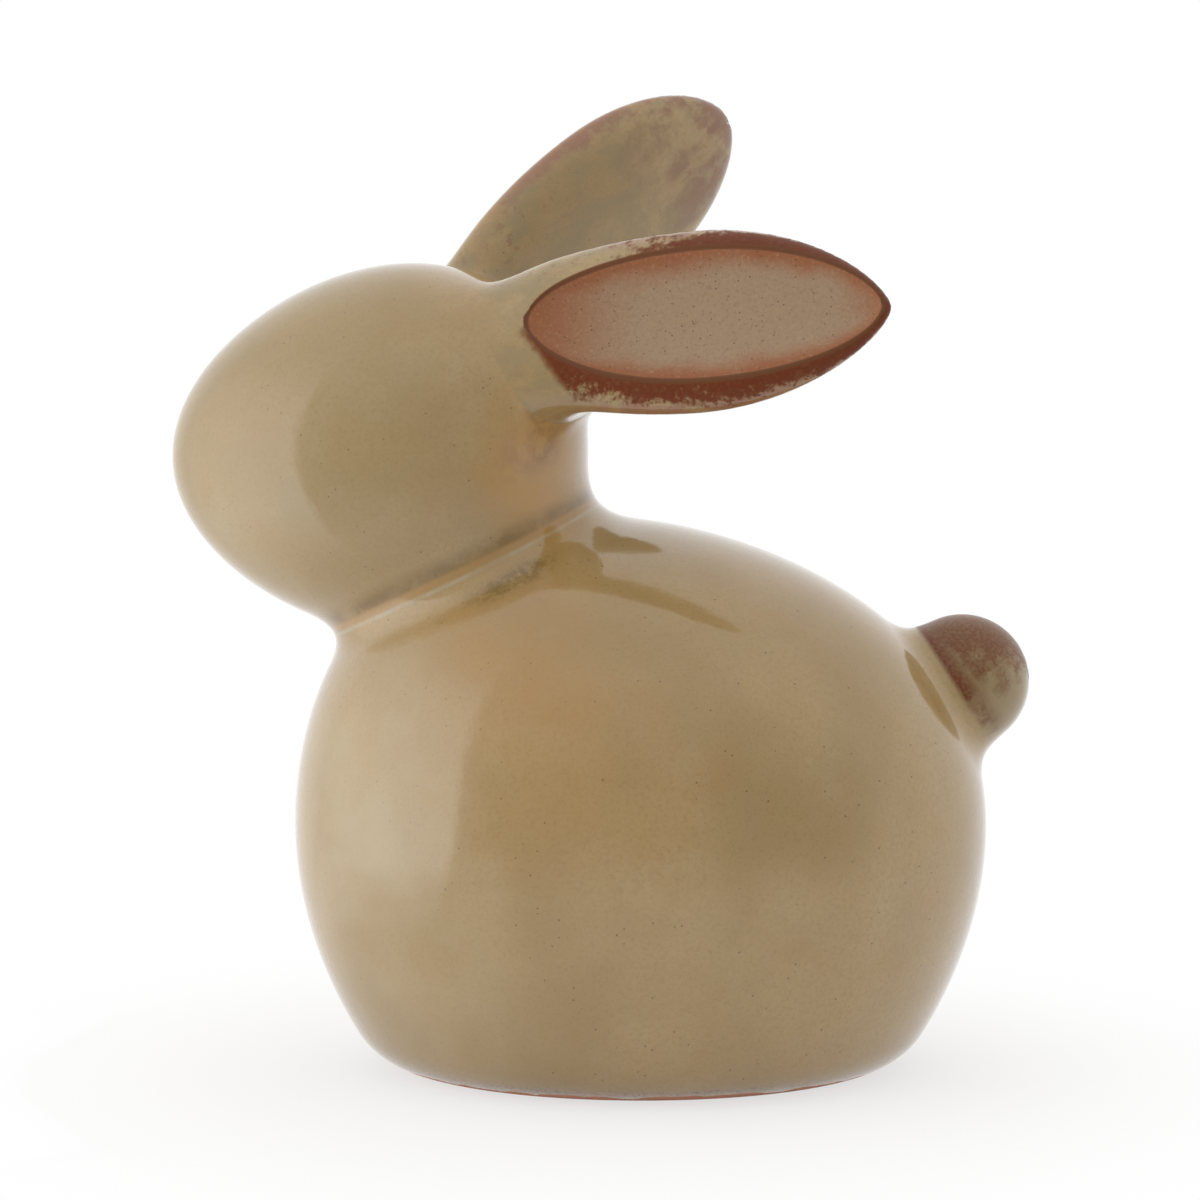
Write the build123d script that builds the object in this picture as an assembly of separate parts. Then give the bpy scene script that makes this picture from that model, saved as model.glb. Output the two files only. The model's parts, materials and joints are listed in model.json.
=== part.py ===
"""Ceramic rabbit figurine: two hollow egg castings with luted ears and tail, in millimetres.

The rabbit faces -X, its left side is -Y and it stands on the plane Z = 0.
"""
import os
from math import asin, cos, degrees, radians, sin, sqrt

from build123d import *

# Body casting: an egg that leans towards the head and is cut flat at the foot
BODY_LENGTH = 103.1
BODY_WIDTH = 83.0
BODY_CROWN = 82.9
BODY_MIDDLE = 30.7
BODY_FULLNESS = 0.115
BODY_LEAN = 8.5
BODY_X = 5.8

# Head casting: an egg lying on its side, small end forward and a little down
HEAD_LENGTH = 62.1
HEAD_HEIGHT = 54.8
HEAD_WIDTH = 51.0
HEAD_FULLNESS = 0.161
HEAD_NOD = 3.2
HEAD_FORWARD = 30.4
HEAD_ABOVE_CROWN = 9.6

# Latitude in degrees where the round end of an egg or dish gives way to a tiny flat
EGG_END = 86.5

# Walls, foot and the openings that let air out in the kiln
WALL = 4.5
FOOT_RING = 6.0
FOOT_EDGE = 12.5
FOOT_RECESS = 1.2
POUR_HOLE = 12.0
NECK_HOLE = 16.0

# Luting slip between two castings
SLIP = 0.8

# Ears: one leaf shape used twice, dished on the outer face
EAR_LENGTH = 56.0
EAR_WIDTH = 27.6
EAR_THICKNESS = 9.0
EAR_ROOT_THICKNESS = 11.0
EAR_WIDEST = 0.496
EAR_ROOT_DEPTH = 5.0
EAR_ROOT_BEYOND = 2.0
EAR_LEAF_POWER = 0.7
EAR_TIP_RUN = EAR_LENGTH * (1 - EAR_WIDEST)
EAR_ROOT_RUN = EAR_LENGTH * EAR_WIDEST + EAR_ROOT_DEPTH + EAR_ROOT_BEYOND

# Dish in the ear and the clay inset that lines it
DISH_TO_TIP = 1.2
DISH_TO_ROOT = 3.8
DISH_RIM = 4.0
DISH_DEPTH = 2.2
DISH_LEAF_POWER = 0.57
DISH_LENGTH = EAR_LENGTH - DISH_TO_TIP - DISH_TO_ROOT
DISH_WIDTH = EAR_WIDTH - 2 * DISH_RIM
INSET = 0.8

# Where each ear grows from the head: share of the head's half length, angle from the top
LEFT_EAR_ALONG = 0.664
LEFT_EAR_ROUND = 45.0
RIGHT_EAR_ALONG = 0.481
RIGHT_EAR_ROUND = 37.0

# How each ear is held, in degrees: rise above level, splay to the side, tilt of the dished face upwards
LEFT_EAR_RISE = 3.8
LEFT_EAR_SPLAY = 15.0
LEFT_EAR_FACE_UP = 20.0
RIGHT_EAR_RISE = 37.9
RIGHT_EAR_SPLAY = 23.0
RIGHT_EAR_FACE_UP = 27.3

# Tail: a ball seated on the rump
TAIL_DIAMETER = 20.0
TAIL_HEIGHT = 56.7
TAIL_STAND = 2.5


def body_section(z, grow):
    """Return the centre x, half length and half width of the body at height z, grown all round."""
    t = (z - BODY_MIDDLE) / (BODY_CROWN - BODY_MIDDLE + grow)
    full = (1 + BODY_FULLNESS * t) * sqrt(max(1 - t * t, 0))
    centre = BODY_X - BODY_LEAN * max(t, 0) ** 3
    return centre, (BODY_LENGTH / 2 + grow) * full, (BODY_WIDTH / 2 + grow) * full


def body_egg(floor, grow):
    """Return the solid body egg above a floor height, grown by a margin."""
    rise = BODY_CROWN - BODY_MIDDLE + grow
    lowest = degrees(asin((floor - BODY_MIDDLE) / rise))
    steps = 10
    rings = []
    for i in range(steps + 1):
        z = BODY_MIDDLE + rise * sin(radians(lowest + (EGG_END - lowest) * i / steps))
        centre, half_length, half_width = body_section(z, grow)
        rings.append(Pos(centre, 0, z) * Ellipse(half_length, half_width))
    return loft(rings)


def head_frame():
    """Return the location of the head's middle, nodding down towards the nose."""
    x = BODY_X - BODY_LEAN - HEAD_FORWARD
    return Location((x, 0, BODY_CROWN + HEAD_ABOVE_CROWN), (0, -HEAD_NOD, 0))


def head_egg(grow):
    """Return the solid head egg, grown by a margin."""
    half_length = HEAD_LENGTH / 2 + grow
    half_height = HEAD_HEIGHT / 2 + grow
    half_width = HEAD_WIDTH / 2 + grow
    steps = 12
    rings = []
    for i in range(steps + 1):
        turn = radians(EGG_END * (2 * i / steps - 1))
        full = (1 + HEAD_FULLNESS * sin(turn)) * cos(turn)
        across = Plane(origin=(half_length * sin(turn), 0, 0), x_dir=(0, 1, 0), z_dir=(1, 0, 0))
        rings.append(across.location * Ellipse(half_width * full, half_height * full))
    return head_frame() * loft(rings)


def head_point(along, round_top, side):
    """Return the point of the head's skin at a share of its half length and an angle from its top."""
    ring = (1 + HEAD_FULLNESS * along) * sqrt(1 - along * along)
    y = side * HEAD_WIDTH / 2 * ring * sin(radians(round_top))
    z = HEAD_HEIGHT / 2 * ring * cos(radians(round_top))
    return (head_frame() * Location((HEAD_LENGTH / 2 * along, y, z))).position


def ear_plane(root, rise, splay, face_up, side):
    """Return the ear's plane at its root: x across the leaf, z along it, y out of the back."""
    level = cos(radians(splay))
    along = Vector(level * cos(radians(rise)), side * sin(radians(splay)), level * sin(radians(rise)))
    face = Vector(0, side * cos(radians(face_up)), sin(radians(face_up)))
    across = along.cross(face).normalized()
    return Plane(origin=root, x_dir=across, z_dir=along)


def ear_sizes(s):
    """Return the ear's half width and half thickness at distance s from the root."""
    middle = EAR_LENGTH - EAR_TIP_RUN
    if s >= middle:
        share = (s - middle) / EAR_TIP_RUN
        left = 1 - share * share
        return EAR_WIDTH / 2 * left**EAR_LEAF_POWER, EAR_THICKNESS / 2 * sqrt(left)
    share = (middle - s) / EAR_ROOT_RUN
    thick = EAR_THICKNESS + (EAR_ROOT_THICKNESS - EAR_THICKNESS) * share * share
    return EAR_WIDTH / 2 * sqrt(1 - share * share), thick / 2


def ear_blank():
    """Return the plain leaf, root buried below its own origin, without its dish."""
    steps = 12
    rings = []
    for i in range(steps):
        s = EAR_LENGTH - (EAR_LENGTH + EAR_ROOT_DEPTH) * (1 - sin(radians(90 * i / steps)))
        rings.append(Pos(0, 0, s) * Ellipse(*ear_sizes(s)))
    return loft(rings + [Vertex(0, 0, EAR_LENGTH)])


def dish_tool(margin):
    """Return the solid that hollows the ear's face, drawn in by a margin all round."""
    run = DISH_LENGTH / 2 - margin
    middle = EAR_LENGTH - DISH_TO_TIP - DISH_LENGTH / 2
    steps = 10
    rings = []
    for i in range(steps + 1):
        share = sin(radians(EGG_END * (2 * i / steps - 1)))
        s = middle + run * share
        half_width, crown = ear_sizes(s)
        left = 1 - share * share
        reach = (DISH_WIDTH / 2 - margin) * left**DISH_LEAF_POWER
        rim = crown * sqrt(1 - (reach / half_width) ** 2)
        below = crown - rim + (DISH_DEPTH - margin) * sqrt(left)
        wide = reach / sqrt(1 - ((crown - rim) / below) ** 2)
        rings.append(Pos(0, -crown, s) * Ellipse(wide, below))
    return loft(rings)


def build_ear(root, rise, splay, face_up, side):
    """Return the ear, its luting slip and its clay inset, set on the head."""
    place = ear_plane(root, rise, splay, face_up, side).location
    blank = place * ear_blank()
    hollow = place * dish_tool(0)
    seat = head_egg(SLIP)
    ear = blank - hollow - seat
    slip = (blank & seat) - head_egg(0)
    inset = (blank & hollow) - place * dish_tool(INSET) - seat
    return ear, slip, inset


def tail_ball():
    """Return the whole tail ball and where it sits, standing square on the rump."""
    step = TAIL_DIAMETER / 20
    centre, half_length, _ = body_section(TAIL_HEIGHT, 0)
    above, half_above, _ = body_section(TAIL_HEIGHT + step, 0)
    lean = (centre + half_length) - (above + half_above)
    out = Vector(step, 0, lean).normalized()
    seat = Vector(centre + half_length, 0, TAIL_HEIGHT)
    return Pos(seat + out * TAIL_STAND) * Sphere(TAIL_DIAMETER / 2)


def body_shell():
    """Return the hollow body with its rounded foot, foot ring, pour hole and neck hole."""
    floor = FOOT_RECESS + WALL
    egg = body_egg(0, 0)
    skin = fillet(egg.edges().sort_by(Axis.Z)[0], FOOT_EDGE)
    foot = skin.faces().sort_by(Axis.Z)[0].bounding_box().size
    recess = extrude(Ellipse(foot.X / 2 - FOOT_RING, foot.Y / 2 - FOOT_RING), FOOT_RECESS)
    pour = Cylinder(POUR_HOLE / 2, 2 * floor)
    neck_x = (BODY_X - BODY_LEAN + head_frame().position.X) / 2
    neck = Pos(neck_x, 0, BODY_CROWN) * Cylinder(NECK_HOLE / 2, BODY_CROWN)
    return skin - body_egg(floor, -WALL) - Pos(BODY_X, 0, 0) * (recess + pour) - neck


def save(shape, name):
    """Write one piece to its own file."""
    export_step(shape, f"parts/{name}.step")


os.makedirs("parts", exist_ok=True)

body_skin = body_egg(0, 0)
body_seat = body_egg(0, SLIP)
head_skin = head_egg(0)
head_room = head_egg(-WALL)
save(body_shell(), "body_casting")
save(head_skin - body_seat - head_room, "head_casting")
save((head_skin & body_seat) - body_skin - head_room, "neck_slip")

left_root = head_point(LEFT_EAR_ALONG, LEFT_EAR_ROUND, -1)
right_root = head_point(RIGHT_EAR_ALONG, RIGHT_EAR_ROUND, 1)
ears = {
    "left_ear": (left_root, LEFT_EAR_RISE, LEFT_EAR_SPLAY, LEFT_EAR_FACE_UP, -1),
    "right_ear": (right_root, RIGHT_EAR_RISE, RIGHT_EAR_SPLAY, RIGHT_EAR_FACE_UP, 1),
}
for name, setting in ears.items():
    ear, slip, inset = build_ear(*setting)
    save(ear, name)
    save(slip, f"{name}_slip")
    save(inset, f"{name}_inset")

save(tail_ball() - body_seat, "tail")
save((tail_ball() & body_seat) - body_skin, "tail_slip")
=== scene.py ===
"""Ceramic rabbit figurine: dressed pieces, studio and camera.

Shapes are worked out in millimetres as distance fields, turned into meshes and scaled to metres.
"""
import json
from functools import partial
from math import atan2, cos, radians, sin, sqrt

import bpy
import numpy as np
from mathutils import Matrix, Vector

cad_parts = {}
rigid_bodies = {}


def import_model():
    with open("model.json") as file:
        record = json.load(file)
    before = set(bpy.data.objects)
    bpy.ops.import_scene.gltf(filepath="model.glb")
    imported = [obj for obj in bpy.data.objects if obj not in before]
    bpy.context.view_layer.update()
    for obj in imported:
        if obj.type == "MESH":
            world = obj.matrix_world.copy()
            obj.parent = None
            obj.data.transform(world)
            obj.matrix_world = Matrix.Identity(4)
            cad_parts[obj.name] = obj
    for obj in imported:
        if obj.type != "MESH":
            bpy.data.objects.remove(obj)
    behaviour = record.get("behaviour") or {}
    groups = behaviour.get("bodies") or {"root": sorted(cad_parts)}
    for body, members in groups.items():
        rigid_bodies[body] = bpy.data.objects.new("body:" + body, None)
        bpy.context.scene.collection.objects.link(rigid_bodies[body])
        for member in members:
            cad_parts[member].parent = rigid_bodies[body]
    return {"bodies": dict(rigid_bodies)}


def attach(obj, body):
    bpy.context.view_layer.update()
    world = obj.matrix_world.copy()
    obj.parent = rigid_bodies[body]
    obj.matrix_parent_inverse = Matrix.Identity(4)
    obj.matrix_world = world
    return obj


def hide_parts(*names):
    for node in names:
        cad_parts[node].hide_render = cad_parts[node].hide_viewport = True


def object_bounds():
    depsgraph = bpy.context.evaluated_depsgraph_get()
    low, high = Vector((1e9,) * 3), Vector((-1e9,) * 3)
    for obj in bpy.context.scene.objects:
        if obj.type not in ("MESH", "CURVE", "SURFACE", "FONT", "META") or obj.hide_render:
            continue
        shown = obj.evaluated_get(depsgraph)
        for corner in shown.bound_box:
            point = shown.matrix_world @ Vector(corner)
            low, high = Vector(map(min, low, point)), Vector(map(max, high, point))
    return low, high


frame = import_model()
cad_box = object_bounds()

MM = 0.001

# Body egg, as in the solids
BODY_LENGTH = 103.1
BODY_WIDTH = 83.0
BODY_CROWN = 82.9
BODY_MIDDLE = 30.7
BODY_RISE = BODY_CROWN - BODY_MIDDLE
BODY_FULLNESS = 0.115
BODY_LEAN = 8.5
BODY_X = 5.8
WALL = 4.5

# Head egg, as in the solids
HEAD_LENGTH = 62.1
HEAD_HEIGHT = 54.8
HEAD_WIDTH = 51.0
HEAD_FULLNESS = 0.161
HEAD_NOD = 3.2
HEAD_FORWARD = 30.4
HEAD_ABOVE_CROWN = 9.6
HEAD_X = BODY_X - BODY_LEAN - HEAD_FORWARD
HEAD_Z = BODY_CROWN + HEAD_ABOVE_CROWN

# Share of an egg's half length, from its middle, up to which its fullness goes on changing
EGG_BEYOND = 1.3

# Ear leaf and its dish, as in the solids
EAR_LENGTH = 56.0
EAR_WIDTH = 27.6
EAR_THICKNESS = 9.0
EAR_ROOT_THICKNESS = 11.0
EAR_WIDEST = 0.496
EAR_ROOT_DEPTH = 5.0
EAR_ROOT_BEYOND = 2.0
EAR_LEAF_POWER = 0.7
EAR_TIP_RUN = EAR_LENGTH * (1 - EAR_WIDEST)
EAR_ROOT_RUN = EAR_LENGTH * EAR_WIDEST + EAR_ROOT_DEPTH + EAR_ROOT_BEYOND
DISH_TO_TIP = 1.2
DISH_TO_ROOT = 3.8
DISH_RIM = 4.0
DISH_DEPTH = 2.2
DISH_LEAF_POWER = 0.57
DISH_LENGTH = EAR_LENGTH - DISH_TO_TIP - DISH_TO_ROOT
DISH_WIDTH = EAR_WIDTH - 2 * DISH_RIM
INSET = 0.8

# Ears on the head: share of its half length, angle from the top, rise, splay, face tilt, side
EARS = {
    "left_ear": (0.664, 45.0, 3.8, 15.0, 20.0, -1),
    "right_ear": (0.481, 37.0, 37.9, 23.0, 27.3, 1),
}

# How much shorter each ear's tip is than the leaf, and the power of its outline
EAR_TIPS = {"left_ear": (0.0, EAR_LEAF_POWER), "right_ear": (1.6, 0.58)}

# Shares that keep the leaf's tip, its root and the dish's ends from closing to a point
EAR_TIP_MOST = 0.9985
EAR_ROOT_MOST = 0.95
EAR_ROOT_EASE = 0.3
DISH_END_LEAST = 0.003

# Tail ball, as in the solids, and the step up the rump that gives its slope
TAIL_DIAMETER = 20.0
TAIL_HEIGHT = 56.7
TAIL_STAND = 2.5
TAIL_STEP = 1.0

# Foot, with the rings that floor its recess and line the hollow body
FOOT_ROUND = 6.0
FOOT_RECESS = 1.2
POUR_HOLE = 12.0
RECESS_LENGTH = 52.5
RECESS_WIDTH = 35.6
RECESS_SHARES = (0.75, 0.5, 0.25, 0.0)
HOLLOW_RINGS = 16

# Luting slip between two castings, the half width that shows of it and the inset's clearance in its bed
SLIP = 0.8
SEAM_HALF = 0.45
INSET_CLEARANCE = 0.05

# How widely the neck is smoothed over at the throat and at the nape, and where these are
THROAT_BLEND = 6.0
NAPE_BLEND = 9.0
THROAT_X = -40.0
NAPE_X = -2.0

# How widely each ear is smoothed into the head at its lower and upper edge, and how round its root ends
EAR_BLENDS = {"left_ear": (9.0, 16.0), "right_ear": (6.0, 6.0)}
EAR_ROOT_ENDS = {"left_ear": 13.0, "right_ear": 5.0}

# How widely the tail's joint and the rim of the dish are smoothed over
TAIL_BLEND = 5.5
DISH_BLEND = 0.7

# Clay smoothed in under the root of the near ear: middle, half sizes and blend
WEB_MIDDLE = (-9.0, -10.5, 101.5)
WEB_HALF = (9.0, 10.0, 4.5)
WEB_BLEND = 8.0

# Surface mesh: cell size, room round the object, halvings of the coarsest cells, nearness in cells, spare
GRID = 0.7
GRID_MARGIN = 3.0
GRID_LEVELS = 4
GRID_NEAR = 2.4
GRID_SPARE = 3
CORNERS = np.array([[i >> 2 & 1, i >> 1 & 1, i & 1] for i in range(8)])
EDGES = [(a, b) for a in range(8) for b in range(a + 1, 8) if abs(CORNERS[a] - CORNERS[b]).sum() == 1]

# How points are moved onto a surface: rounds, step and least square of the slope, least divisor
SETTLE_ROUNDS = 4
SLOPE_STEP = 0.04
SLOPE_LEAST = 0.05
TINY = 1e-6

# Shares of its rim's size at which a seat has rings
SEAT_SHARES = (0.85, 0.65, 0.45, 0.25, 0.1)

# Largest values kept per point for the distance across the neck joint and out of the dish
NECK_MOST = 30.0
DISH_MOST = 8.0


def rgb(red, green, blue):
    """Return an opaque colour."""
    return (red, green, blue, 1.0)


# Colours
TAN = rgb(0.402, 0.274, 0.118)
TAN_DEEP = rgb(0.333, 0.22, 0.086)
# Pale tan of the mottling and the clay's grain, a little blue so that it also serves as painted sheen on the
# body's left
PALE_TAN_AND_SHEEN = rgb(0.425, 0.33, 0.188)
OCHRE = rgb(0.37, 0.19, 0.048)
OLIVE = rgb(0.26, 0.195, 0.09)
# Warm honey tone, made brighter than the glaze as painted light for the nape that the ear and neck shade
HONEY_PAINTED_LIGHT = rgb(0.47, 0.245, 0.052)
UMBER = rgb(0.18, 0.108, 0.025)
BROWN = rgb(0.15, 0.075, 0.03)
SOOT = rgb(0.06, 0.035, 0.02)
RUST = rgb(0.22, 0.08, 0.032)
ROSE = rgb(0.28, 0.12, 0.068)
PLUM = rgb(0.2, 0.095, 0.045)
BRICK = rgb(0.138, 0.027, 0.004)
OUTLINE = rgb(0.135, 0.045, 0.012)
# Pale pooled glaze, partly a painted highlight along the neck's crease
POOLED_HIGHLIGHT = rgb(0.42, 0.39, 0.31)
CLAY = rgb(0.66, 0.31, 0.19)
INSET_CLAY = rgb(0.325, 0.212, 0.124)
INSET_EDGE = rgb(0.28, 0.088, 0.026)
FLOOR_WHITE = rgb(0.9, 0.9, 0.9)
WHITE = rgb(1.0, 1.0, 1.0)

# A span says where a value starts and stops to count and, if not none to full, what it gives at each end.
# A noise is a patch size in millimetres, a detail and a roughness, and patches are a noise with its span.
# A band says where a value starts, is full, fades and ends.
# Specks have a size in millimetres, a share of cells and a strength.

# Mottling that all the glazes share: colour and patches
MOTTLES = (
    (TAN, (26.0, 3.0, 0.5, 0.35, 0.68)),
    (PALE_TAN_AND_SHEEN, (11.0, 6.0, 0.6, 0.5, 0.8, 0.0, 0.35)),
    (OCHRE, (9.0, 5.0, 0.6, 0.45, 0.8, 0.0, 0.3)),
    (TAN_DEEP, (0.7, 2.0, 0.6, 0.4, 0.75, 0.0, 0.55)),
    (BROWN, (0.45, 3.0, 0.7, 0.48, 0.7, 0.0, 0.2)),
)
GLAZE_SPECKS = (1.0, 0.09, 0.7)
SPECK_EDGE = (0.2, 0.08)

# Relief of the glaze, its polish, and its refraction
GLAZE_RELIEF = (2.2, 3.0, 0.5)
GLAZE_DEPTH = 0.12
GLAZE_ROUGH = 0.1
COAT_ROUGH = 0.04
RELIEF_STRENGTH = 0.35
REFRACTION = 1.5

# Finish of each glaze: roughness where it is dry, coat where it is wet and where it is dry, gloss
BODY_FINISH = (0.75, 0.5, 0.0, 0.5)
EAR_FINISH = (0.35, 1.0, 0.0, 0.25)
TAIL_FINISH = (0.35, 0.7, 0.2, 0.25)

# Stains on the body and head, and painted light among them: middle, reach, colour and strength
STAINS_AND_PAINTED_LIGHT = (
    # Painted sheen: two pale patches on the left of the body, where it would reflect the bright sheet
    ((-38.0, -22.0, 45.0), 30.0, PALE_TAN_AND_SHEEN, 0.7),
    ((-28.0, -28.0, 18.0), 28.0, PALE_TAN_AND_SHEEN, 0.6),
    ((-12.0, -31.0, 64.0), 19.0, OCHRE, 0.6),
    ((-3.0, -38.0, 50.0), 25.0, OCHRE, 0.35),
    # Honey tone at the nape, brightened as painted light where the ear and neck shade it
    ((-8.2, -17.1, 90.2), 16.0, HONEY_PAINTED_LIGHT, 0.9),
    ((-2.4, -21.8, 98.6), 4.0, BROWN, 0.9),
    ((-7.4, -21.2, 98.4), 5.0, PLUM, 0.7),
    ((-8.2, -17.6, 93.6), 5.0, PLUM, 0.5),
    ((-11.8, -20.6, 92.3), 6.0, ROSE, 0.35),
    ((-10.0, -17.0, 118.0), 8.0, RUST, 0.4),
    ((-17.5, -15.5, 116.0), 9.0, ROSE, 0.25),
)

# Share of a spot's reach that is full, the reach up to which it is ragged, and patches for both kinds, alike
# for stains and painted light
STAIN_CORE = 0.2
STAIN_SMALL = 10.0
SMALL_PATCHES = (2.6, 5.0, 0.65, 0.38, 0.62)
LARGE_PATCHES = (12.0, 4.0, 0.55, 0.3, 0.7, 0.4, 1.0)

# Olive on the face, by place from back to front and by distance across the neck joint
FACE_X = (-15.0 * MM, -40.0 * MM)
FACE_OLIVE = (1.0, -8.0, 0.0, 0.4)

# Neck joint, by distance across it, negative on the head: smudge above it, ochre line, pale pooled glaze that
# is partly a painted highlight in the crease
SMUDGE_BAND = (-5.5, -2.4, -1.8, -0.8)
SMUDGE_PATCHES = (6.0, 5.0, 0.62, 0.3, 0.6, 0.3, 0.8)
LINE_BAND = (-2.0, -1.0, -0.3, 0.3)
LINE_STRENGTH = 0.5
POOLED_HIGHLIGHT_BAND = (0.0, 0.4, 0.7, 1.2)
POOLED_HIGHLIGHT_PATCHES = (6.0, 5.0, 0.62, 0.35, 0.6, 0.1, 0.5)

# Dark smear on the shoulder, below the neck joint: middle and reach, distance across the joint, patches
SMEAR = ((-12.5, -22.5, 74.3), 10.0)
SMEAR_BAND = (2.0, 5.0, 6.0, 8.5)
SMEAR_PATCHES = (1.8, 5.0, 0.7, 0.35, 0.6, 0.1, 0.9)

# Foot, by height: uneven edge of the glaze, brown line along it and bare clay below it
FOOT_UNEVEN = (4.0, 4.0, 0.5, 0.3, 0.7, -0.3, 0.3)
FOOT_BAND = (1.2, 1.6, 1.9, 3.2)
FOOT_PATCHES = (0.5, 2.0, 0.5, 0.5, 0.62, 0.1, 0.75)
FOOT_BARE = (1.5, 1.2)

# Bare clay inside the body, by distance from its skin
INSIDE_BARE = (-0.3, -0.8)

# Dry, stained corner under the near ear: middle and reach, strength
DRY_CORNER = ((-5.5, -20.5, 97.5), 11.0)
DRY_STRENGTH = 0.75

# Streaks drawn out along an ear: scale along and across it, detail, roughness and distortion of their noise
STREAKS_ALONG = 6.0
STREAKS_ACROSS = 0.22
STREAKS_DETAIL = 5.0
STREAKS_ROUGH = 0.62
STREAKS_WARP = 0.4

# Khaki of the ears: olive streaks and clouds, then the worn edge by share of half width and of length
EAR_CLOUDS = (4.0, 6.0, 0.68)
OLIVE_STREAKS = (0.42, 0.66, 0.0, 0.7)
OLIVE_CLOUDS = (0.45, 0.7, 0.0, 0.5)
WORN_UNEVEN = (0.3, 0.7, -0.1, 0.1)
WORN_EDGE = (0.84, 1.0, 0.0, 0.8)
WORN_ALONG = (0.02, 0.4)

# Rust on the ears: drawn out towards the tip, in flecks on the upper half near the root
RUST_DRAWN = (0.86, 1.2, 0.0, 0.85)
RUST_ALONG = (0.45, 0.9)
FLECKS = (1.6, 5.0, 0.7, 0.55, 0.68, 0.0, 0.6)
FLECKS_ALONG = (0.6, 0.1)
FLECKS_UPPER = (0.2, 0.7)

# Burnt red on the ears' face: edge by share of thickness, shifted by streaks, tip, grain and lower edge
BURN_EDGE = (0.2, 0.46)
BURN_STREAKS = (0.3, 0.7, -0.14, 0.14)
BURN_TIP = (0.45, 0.95, 0.0, 0.35)
BURN_RAGGED = (0.9, 4.0, 0.7, 0.3, 0.7, -0.12, 0.12)
BURN_LOWER = (-0.3, -0.8)
BURN_LOWER_ALONG = (0.45, 0.2, 0.08, 0.26)

# Start of the burnt red by share of length, later on the upper half, where it wanders and is softer
BURN_START = (-0.015, 0.03)
BURN_START_LOWER = (-1.3, 0.1, 0.2, 0.04)
BURN_START_UPPER = (-0.2, 0.5, 0.0, 0.3)
BURN_WANDER = (2.2, 5.0, 0.7, 0.3, 0.7, -0.12, 0.12)
BURN_WANDER_UPPER = (0.1, 0.6, 0.05, 1.0)
BURN_FIRM = (0.2, 0.55, 1.0, 0.2)

# Burnt red away from the joint, its grain, how soon it is dry, and the dark outline round the dish
BURN_AWAY = (1.0, 1.8)
BURN_GRAIN = (0.6, 3.0, 0.6, 0.3, 0.55, 0.9, 1.0)
BURN_DRY = (0.0, 0.8)
DISH_OUTLINE = (0.75, 0.45)

# Tail: olive away from its joint, burnt red by height on its crown and along the joint
TAIL_OLIVE = (1.2, 3.5, 0.1, 0.72)
TAIL_UNEVEN = (4.0, 5.0, 0.6, 0.3, 0.7, -3.0, 3.0)
TAIL_CROWN = (TAIL_HEIGHT, TAIL_HEIGHT + 7.0, 0.0, 0.82)
TAIL_JOINT = (6.5, 2.5)
TAIL_JOINT_HEIGHT = (TAIL_HEIGHT - 8.0, TAIL_HEIGHT + 1.0)
TAIL_AWAY = (1.8, 2.8)
TAIL_GRAIN = (0.5, 3.0, 0.65, 0.3, 0.6, 0.7, 1.0)

# Inset clay: grain, warmth by depth in the dish and by share of length, specks, rim, matt finish
CLAY_NOISE = (0.5, 4.0, 0.7)
CLAY_UNEVEN = (8.0, 4.0, 0.5, 0.3, 0.7, -0.5, 0.5)
CLAY_WARM = (-3.2, -0.2)
CLAY_WARM_ROOT = (0.38, 0.06)
CLAY_PALE = (0.5, 0.75, 0.0, 0.4)
CLAY_DARK = (0.5, 0.25, 0.0, 0.5)
CLAY_SOOT = (0.8, 0.45, 0.85)
CLAY_BROWN = (0.5, 0.3, 0.5)
CLAY_RIM = (-0.3, -0.1)
CLAY_ROUGH = (0.3, 0.7, 0.6, 0.8)
CLAY_DEPTH = 0.15
CLAY_COAT = 0.0
CLAY_GLOSS = 0.5

# Studio sheets: columns are bearings in degrees from the camera's side with a level of light,
# rows are distances and heights in metres with the share of that level
LEFT_COLUMNS = ((-115.0, 1.1), (-90.0, 1.9), (-75.0, 2.3), (-53.0, 2.3), (-49.5, 0.9))
LEFT_ROWS = (
    (0.085, 0.002, 0.0), (0.11, 0.002, 0.3), (0.145, 0.002, 0.65), (0.2, 0.002, 1.0), (0.5, 0.002, 1.0),
    (0.6, 0.06, 1.0), (0.64, 0.2, 0.9), (0.65, 0.4, 0.65), (0.65, 0.6, 0.2), (0.65, 0.9, 0.0),
)
FRONT_COLUMNS = ((-49.5, 0.9), (-36.0, 0.54), (0.0, 0.49), (40.0, 0.5), (55.0, 0.65), (75.0, 1.0))
FRONT_ROWS = (
    (0.125, 0.002, 0.0), (0.16, 0.002, 0.25), (0.21, 0.002, 0.45), (0.26, 0.002, 0.62),
    (0.35, 0.002, 0.8), (0.5, 0.002, 0.95), (0.6, 0.06, 1.0), (0.64, 0.2, 1.0),
    (0.65, 0.35, 0.7), (0.65, 0.6, 0.25), (0.65, 0.9, 0.0),
)

# Floor in metres: reach, and the share of plain white by distance, which leaves a soft shadow near the object
FLOOR_REACH = 3.0
FLOOR_PLAIN = (0.05, 0.12, 0.68, 1.0)

# Light from all round, by the rise of its direction
SKY_LEVEL = (0.0, 0.9, 0.7, 1.2)

# Camera, level with the head and aimed a little down
CAMERA_X = -0.3
CAMERA_DISTANCE = 480.0
CAMERA_HEIGHT = 103.0
CAMERA_AIM = 70.2
CAMERA_LENS = 96.2
CAMERA_SENSOR = 36.0


def smooth_min(a, b, k):
    """Blend two distance fields over a width k."""
    h = np.maximum(k - np.abs(a - b), 0.0) / k
    return np.minimum(a, b) - h * h * k / 4


def soft_min(a, b, k):
    """Blend two distance fields over a width k with an even softer curve."""
    h = np.maximum(k - np.abs(a - b), 0.0) / k
    return np.minimum(a, b) - h**3 * k / 6


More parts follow.
